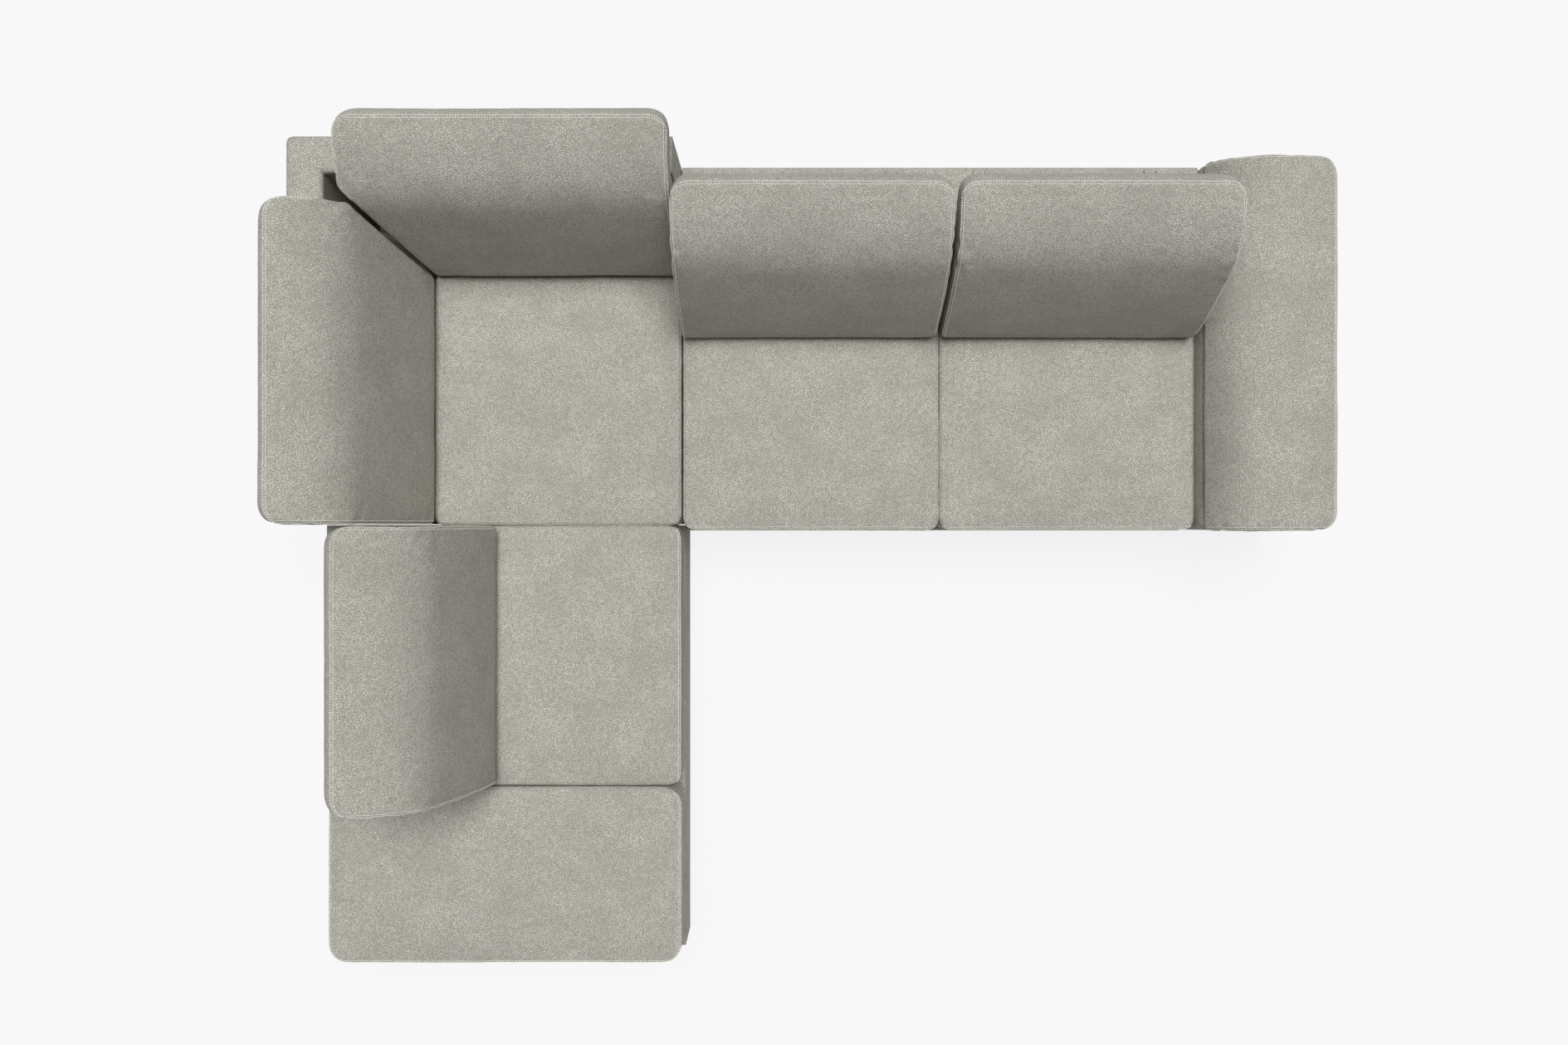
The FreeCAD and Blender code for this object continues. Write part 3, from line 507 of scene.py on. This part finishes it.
def single_stitch():
    """Stitch along z: a six-sided thread with narrowed ends."""
    bm = bmesh.new()
    sides = 6
    bmesh.ops.create_cone(bm, cap_ends=True, segments=sides, radius1=thread_radius, radius2=thread_radius,
                          depth=stitch_length * straight_share)
    ends = [f for f in bm.faces if len(f.verts) == sides]
    for face in ends:
        outward = face.normal * (stitch_length * (1 - straight_share) / 2)
        made = bmesh.ops.extrude_discrete_faces(bm, faces=[face])["faces"]
        bmesh.ops.translate(bm, verts=made[0].verts, vec=outward)
        bmesh.ops.scale(bm, verts=made[0].verts, vec=(end_scale, end_scale, 1.0))
    bmesh.ops.remove_doubles(bm, verts=bm.verts, dist=1e-6)
    mesh = bpy.data.meshes.new("stitch")
    bm.to_mesh(mesh)
    bm.free()
    return mesh


def sewn(name, skin, rows):
    """One mesh of stitches along rows of points, each laid on the skin."""
    single = single_stitch()
    shape = [vert.co.copy() for vert in single.vertices]
    sides = [tuple(face.vertices) for face in single.polygons]
    lay = BVHTree.FromPolygons(
        [v.co for v in skin.data.vertices], [p.vertices for p in skin.data.polygons])
    points = []
    faces = []
    for row in rows:
        for point, direction in resampled(row, stitch_pitch):
            spot, normal, _, _ = lay.find_nearest(point)
            across = direction.cross(normal).normalized()
            upward = across.cross(direction).normalized()
            turn = Matrix((across, upward, direction)).transposed()
            lifted = spot + normal * thread_radius * stitch_rise
            first = len(points)
            points += [turn @ corner + lifted for corner in shape]
            faces += [tuple(first + i for i in side) for side in sides]
    mesh = bpy.data.meshes.new(name)
    mesh.from_pydata(points, [], faces)
    mesh.materials.append(thread)
    obj = bpy.data.objects.new(name, mesh)
    bpy.context.scene.collection.objects.link(obj)
    return obj


# Folded units: a ring of the outline's points at each station from the left side to the right

# side is -1 or 1, with the distance from that side, or 0, with the share of the way between them
Station = namedtuple("Station", "side distance inset rank")


def side_stations(side):
    """Stations from a side's edge inwards; rank 0 is the seam."""
    stations = []
    for i, angle in enumerate(side_angles):
        a = radians(angle)
        rank = side_angles.index(45) - i
        inset = edge_radius * (1 - sin(a))
        if rank == 0:
            inset += groove_depth
        stations.append(Station(side, edge_radius * (1 - cos(a)), inset, rank))
    stations += [Station(side, distance, 0.0, near_rank) for distance in side_distances]
    return stations


def extruded(stations, count, spot):
    """Cage with a ring of points at each station, and the rings."""
    bm = bmesh.new()
    ring = [bm.verts.new(spot(k, stations[0])) for k in range(count)]
    for i in range(count):
        bm.edges.new((ring[i - 1], ring[i]))
    rings = [ring]
    for station in stations[1:]:
        ring = ring_after(bm, ring)
        for k, vert in enumerate(ring):
            vert.co = spot(k, station)
        rings.append(ring)
    return bm, rings


def close_side(bm, ring, side, bulge, spot):
    """Closes a side of the cage with a cap that swells outwards."""
    for more, share in cap_steps:
        ring = ring_after(bm, ring)
        station = Station(side, -bulge * share, edge_radius + more, cap_rank)
        for k, vert in enumerate(ring):
            vert.co = spot(k, station)
    close(bm, ring)


def stitch_rows(shape, stations, rings, mitres):
    """Point numbers of both rows: up the left side, along the flap's end and down the right side.

    On a mitred side a row starts at the ridge, and otherwise at the toe.
    """
    if shape.seam == len(shape.points):
        return []
    low_left, low_right = (shape.ridge + 1 if side in mitres else shape.toe_end for side in (-1, 1))
    rows = []
    for rank, end in zip(stitch_ranks, (shape.row_a, shape.row_b)):
        left, right = (
            next(i for i, s in enumerate(stations) if s.side == side and s.rank == rank)
            for side in (-1, 1))
        row = [rings[left][k].index for k in range(low_left, end)]
        row += [rings[i][end].index for i in range(left, right + 1)]
        row += [rings[right][k].index for k in range(end, low_right, -1)]
        rows.append(row)
    return rows


def joint_of(name):
    return next(j for j in frame["joints"] if j["name"] == name)


def folded_unit(name, shape, joint, half, angle, mitres, bodies, replaced, slack):
    """Cover of a back with its headrest, of the arm's top pad or of the arm's body, with its stitching.

    half is half its width and angle its turn in plan. mitres gives a mitred side's distance from the
    middle at the seat's line, and slack is how far a plain side swells.
    """
    pivot = joint_of(joint)["pos_m"]
    turn = Matrix.Rotation(radians(angle), 3, "Z")
    origin = Vector(pivot) - turn @ Vector((0.0, shape.pivot[0], shape.pivot[1]))
    left_side = side_stations(-1)
    inner = left_side[-1].distance
    field = 2 * (half - inner)
    spans = round(field / cell)
    stations = left_side
    stations += [Station(0, i / spans, 0.0, field_rank) for i in range(1, spans)]
    stations += reversed(side_stations(1))

    def side_at(side, v):
        """Place of the left or right side, which a mitre draws in ahead of the ridge."""
        if side in mitres:
            return side * min(half, mitres[side] + v)
        return side * half

    def spot(k, station):
        """Place of the outline's point k at a station."""
        side, distance, inset, rank = station
        if side and rank == 0 and (k < shape.toe_end or k > shape.seam):
            inset -= groove_depth
        if k == shape.seam and rank < 0:
            inset += groove_depth
        far = distance if side else min(distance, 1 - distance) * field + inner
        v, z = shape.shifted(k, inset, far)
        near = max(shape.points[k][0], 0.0)
        left = side_at(-1, near)
        right = side_at(1, near)
        if side < 0:
            u = left + distance
        elif side > 0:
            u = right - distance
        else:
            u = left + inner + (right - left - 2 * inner) * distance
        return origin + turn @ Vector((u, v, z))

    bm, rings = extruded(stations, len(shape.points), spot)
    for side, ring in ((-1, rings[0]), (1, rings[-1])):
        close_side(bm, ring, side, 0.0 if side in mitres else slack, spot)
    number_points(bm)
    free = set()
    for station, ring in zip(stations, rings):
        if station.rank < -1:
            free.update(ring[k].index for k in range(shape.toe_end + 1, shape.row_a))
    pinned = {v.index for v in bm.verts} - free
    rows = stitch_rows(shape, stations, rings, mitres)
    obj = puffed(bm, pinned, name)
    bm.free()
    seam_lines = points_of(obj, rows)
    back_turn = turn.inverted()

    def puckers(point):
        """Share of the puckers: most beside the fold, near the sides."""
        local = back_turn @ (point - origin)
        from_fold = hypot(local[1] - shape.pivot[0], local[2] - shape.pivot[1])
        from_side = half - abs(local[0])
        beside_fold = max(0.0, 1 - abs(from_fold - pucker_ring) / pucker_spread)
        return max(0.0, 1 - from_side / pucker_field) * beside_fold

    refine(obj, puckers)
    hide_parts(*replaced)
    if len(bodies) == 1:
        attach(obj, bodies[0])
        return
    stitches = sewn(name + "_stitching", obj, seam_lines)
    heading = (shape.flap + pi / 2 - radians(fold_lean)) / 2
    reach = turn @ Vector((0.0, cos(heading), sin(heading))) * fold_reach
    for piece in (obj, stitches):
        Vector(pivot) - reach
        Vector(pivot) + reach
        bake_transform(piece)


def half_width(node, axis):
    low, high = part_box(node)
    return (high[axis] - low[axis]) / 2


# Backs with their headrests

def sliding_back(recline, reach):
    return BackCover(recline, reach, bottom=0.459, behind=0.055, lift=0.011)


def fixed_back(recline, reach):
    return BackCover(recline, reach, bottom=0.446, behind=0.03, lift=0.0)


row_shape = sliding_back(0.148, 0.201)
for which in ("middle", "right"):
    folded_unit(
        f"back_{which}_cover", row_shape, f"fold_{which}", half_width(f"headrest_{which}_pad", 0), 0, {},
        (f"back_{which}", f"headrest_{which}"), (f"back_{which}_pad", f"headrest_{which}_pad"), 0.003)
folded_unit(
    "back_chaise_cover", sliding_back(0.108, 0.228), "fold_chaise", half_width("headrest_chaise_pad", 1),
    90, {}, ("back_chaise", "headrest_chaise"), ("back_chaise_pad", "headrest_chaise_pad"), 0.001)
rear_half = half_width("headrest_corner_rear_pad", 0)
folded_unit(
    "back_corner_rear_cover", fixed_back(0.130, 0.208), "fold_corner_rear", rear_half, 0,
    {-1: rear_half - 0.140}, ("base", "headrest_corner_rear"),
    ("back_corner_rear_pad", "headrest_corner_rear_pad"), 0.001)
side_half = half_width("headrest_corner_side_pad", 1)
folded_unit(
    "back_corner_side_cover", fixed_back(0.130, 0.201), "fold_corner_side", side_half, 90,
    {1: side_half - 0.117}, ("base", "headrest_corner_side"),
    ("back_corner_side_pad", "headrest_corner_side_pad"), 0.001)


# Arm's top pad and body

arm_knee = 0.497
arm_half = half_width("arm_body", 1)
arm_pad = ArmPadCover(arm_knee, (0.058, 0.603), reach=0.275)
folded_unit(
    "arm_pad_cover", arm_pad, "fold_arm", arm_half, -90, {}, ("base", "arm_top"), ("arm_pad",), 0.003)
arm_body = ArmBody(arm_pad.pivot, arm_knee, outer=0.324, bottom=0.050, toe=0.008)
folded_unit(
    "arm_body_cover", arm_body, "fold_arm", arm_half - 0.001, -90, {}, ("base",), ("arm_body",), 0.003)


# Seat cushions

def border_ring(bm):
    """Vertices of the open border, in order."""
    first = next(e for e in bm.edges if len(e.link_faces) == 1)
    start, here = first.verts
    ring = [start]
    edge = first
    while here is not start:
        ring.append(here)
        edge = next(e for e in here.link_edges if len(e.link_faces) == 1 and e is not edge)
        here = edge.other_vert(here)
    return ring


def runs_of(chosen, size):
    """Runs of neighbours among the chosen places of a ring of that size, closed if all are chosen."""
    runs = []
    for i in chosen:
        if runs and runs[-1][-1] == i - 1:
            runs[-1].append(i)
        else:
            runs.append([i])
    if len(runs) > 1 and runs[0][0] == 0 and runs[-1][-1] == size - 1:
        runs[0] = runs.pop() + runs[0]
    if len(chosen) == size:
        runs[0].append(runs[0][0])
    return runs


def side_profile(height):
    """(outwards, down) of the rings from the crown's border to the bottom, with the seam drawn in."""
    drops = []
    for angle in rim_angles:
        a = radians(angle)
        depth = groove_depth if angle == seam_angle else 0.0
        drops.append((seat_rim * sin(a) - depth * sin(a), seat_rim * (1 - cos(a)) + depth * cos(a)))
    drops += [(seat_rim, seat_rim + share * (height - 2 * seat_rim)) for share in boxing_shares]
    drops += [(seat_rim, height - seat_rim), (seat_rim * 0.7, height - seat_rim * 0.3), (0.0, height)]
    return drops


def seat_cover(node, corner_radius, front_bulge, sewn_sides):
    """Crowned top, boxing and bottom of a seat cushion, with stitching along the named sides."""
    low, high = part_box(node)
    top = high[2] - seat_crown + seat_proud
    middle = Vector(((low[0] + high[0]) / 2, (low[1] + high[1]) / 2, 0.0))
    flat_x = (high[0] - low[0]) / 2 - front_bulge[0] - seat_rim
    flat_y = (high[1] - low[1]) / 2 - front_bulge[1] - seat_rim
    swell_x = max(front_bulge[0], seat_swell)
    swell_y = max(front_bulge[1], seat_swell)
    inner_radius = max(corner_radius - seat_rim, least_corner)
    core_x = flat_x - inner_radius
    core_y = flat_y - inner_radius

    def rounded(x, y):
        """Plan point of the grid, moved so that the grid's corners are round."""
        cx = max(abs(x) - core_x, 0.0)
        cy = max(abs(y) - core_y, 0.0)
        if cx > 0 and cy > 0:
            share = max(cx, cy) / hypot(cx, cy)
            x = math.copysign(core_x + cx * share, x)
            y = math.copysign(core_y + cy * share, y)
        return x, y

    bm = bmesh.new()
    bmesh.ops.create_grid(
        bm, x_segments=round(2 * flat_x / cell), y_segments=round(2 * flat_y / cell), size=1.0)
    for vert in bm.verts:
        x, y = rounded(vert.co.x * flat_x, vert.co.y * flat_y)
        rise = (1 - abs(vert.co.x) ** crown_powers[0]) * (1 - abs(vert.co.y) ** crown_powers[1])
        vert.co = (x, y, top + seat_crown * rise)
    ring = border_ring(bm)
    outward = []
    for vert in ring:
        core = (max(min(vert.co.x, core_x), -core_x), max(min(vert.co.y, core_y), -core_y))
        outward.append(Vector((vert.co.x - core[0], vert.co.y - core[1], 0.0)).normalized())
    border = [v.co.copy() for v in ring]
    height = top - low[2]
    rings = [ring]
    for out, down in side_profile(height):
        ring = ring_after(bm, ring)
        belly = sin(pi * min(down / height, 1.0))
        for vert, spot, side in zip(ring, border, outward):
            swell = belly * (swell_x * abs(side.x) + swell_y * abs(side.y))
            vert.co = spot + side * (out + swell)
            vert.co.z = top - down
        rings.append(ring)
    close(bm, ring)
    bmesh.ops.translate(bm, verts=bm.verts, vec=middle)
    number_points(bm)
    pinned = {v.index for r in rings for v in r}
    size = len(border)
    chosen = [i for i in range(size) if any(outward[i].dot(side) > facing for side in sewn_sides)]
    rows = []
    for angle in stitch_angles:
        sewn_ring = rings[1 + rim_angles.index(angle)]
        rows += [[sewn_ring[i].index for i in run] for run in runs_of(chosen, size)]
    obj = puffed(bm, pinned, node + "_cover")
    bm.free()
    seam_lines = points_of(obj, rows)
    refine(obj, lambda point: seat_pucker)
    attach(obj, "base")
    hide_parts(node)
    if seam_lines:
        stitches = sewn(node + "_stitching", obj, seam_lines)
        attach(stitches, "base")


front = Vector((0.0, -1.0, 0.0))
left = Vector((-1.0, 0.0, 0.0))
right = Vector((1.0, 0.0, 0.0))
seat_cover("seat_middle", 0.022, (0.0, 0.0025), (front,))
seat_cover("seat_right", 0.022, (0.0, 0.0025), (front,))
seat_cover("seat_corner", 0.018, (0.0, 0.0), ())
seat_cover("seat_chaise", 0.022, (0.0025, 0.0), (right,))
seat_cover("seat_chaise_end", 0.050, (0.0, 0.0025), (front, right, left))


# The solids that stay in view all wear the cover's material, the feet, rails and boards too

for obj in nodes.values():
    for slot in obj.material_slots:
        slot.material = cover
    if not obj.material_slots:
        obj.data.materials.append(cover)


# Floor, light and camera

def seen_ray(tree):
    """1 on rays from the camera, reflections and transmission, else 0."""
    paths = add_node(tree, "ShaderNodeLightPath", {})
    direct = add_node(tree, "ShaderNodeMath",
                      {0: paths.outputs["Is Camera Ray"], 1: paths.outputs["Is Glossy Ray"]},
                      operation="MAXIMUM")
    through = add_node(tree, "ShaderNodeMath",
                       {0: direct.outputs["Value"], 1: paths.outputs["Is Transmission Ray"]},
                       operation="MAXIMUM")
    return through.outputs["Value"]


def make_floor():
    """Matt white studio floor that shows near white to the camera and keeps the shadow."""
    material, tree = new_material("studio_floor")
    share = add_node(tree, "ShaderNodeMath", {0: seen_ray(tree), 1: 0.85}, operation="MULTIPLY")
    paint = add_node(tree, "ShaderNodeBsdfDiffuse", {"Color": hex_colour("#C4C4C3")})
    glow = add_node(tree, "ShaderNodeEmission", {"Color": hex_colour("#FFFFFF"), "Strength": 1.0})
    mix = add_node(tree, "ShaderNodeMixShader", {0: share.outputs["Value"], 1: paint.outputs["BSDF"],
                                                2: glow.outputs["Emission"]})
    add_node(tree, "ShaderNodeOutputMaterial", {"Surface": mix.outputs["Shader"]})
    return material


bm = bmesh.new()
bmesh.ops.create_grid(bm, x_segments=1, y_segments=1, size=14.0)
floor_mesh = bpy.data.meshes.new("floor")
bm.to_mesh(floor_mesh)
bm.free()
floor_mesh.materials.append(make_floor())
floor = bpy.data.objects.new("floor", floor_mesh)
bpy.context.scene.collection.objects.link(floor)

# A faint even fill lights the part; the camera sees a white backdrop instead of it
world = bpy.data.worlds.new("studio")
world.use_nodes = True
sky_tree = world.node_tree
sky_tree.nodes.clear()
fill = add_node(sky_tree, "ShaderNodeBackground", {"Color": hex_colour("#FFFFFF"), "Strength": 0.04})
backdrop = add_node(sky_tree, "ShaderNodeBackground", {"Color": hex_colour("#FFFFFF"), "Strength": 1.0})
sky = add_node(sky_tree, "ShaderNodeMixShader",
               {0: seen_ray(sky_tree), 1: fill.outputs["Background"], 2: backdrop.outputs["Background"]})
add_node(sky_tree, "ShaderNodeOutputWorld", {"Surface": sky.outputs["Shader"]})
bpy.context.scene.world = world

# One wide lamp overhead, a little to the rear and the right, gives the soft shadows
lamp = bpy.data.lights.new("overhead", "SUN")
lamp.energy = 3.2
lamp.angle = radians(30)
lamp_object = bpy.data.objects.new("overhead", lamp)
lamp_object.rotation_euler = (radians(-10), radians(3), 0.0)
bpy.context.scene.collection.objects.link(lamp_object)

# The photo is taken from straight above
camera = bpy.data.cameras.new("camera")
camera.lens = 35.0
camera.sensor_width = 36.0
camera_object = bpy.data.objects.new("camera", camera)
camera_object.location = (-0.090, 0.099, 4.568)
bpy.context.scene.collection.objects.link(camera_object)
bpy.context.scene.camera = camera_object
bpy.context.scene.view_settings.view_transform = "Standard"
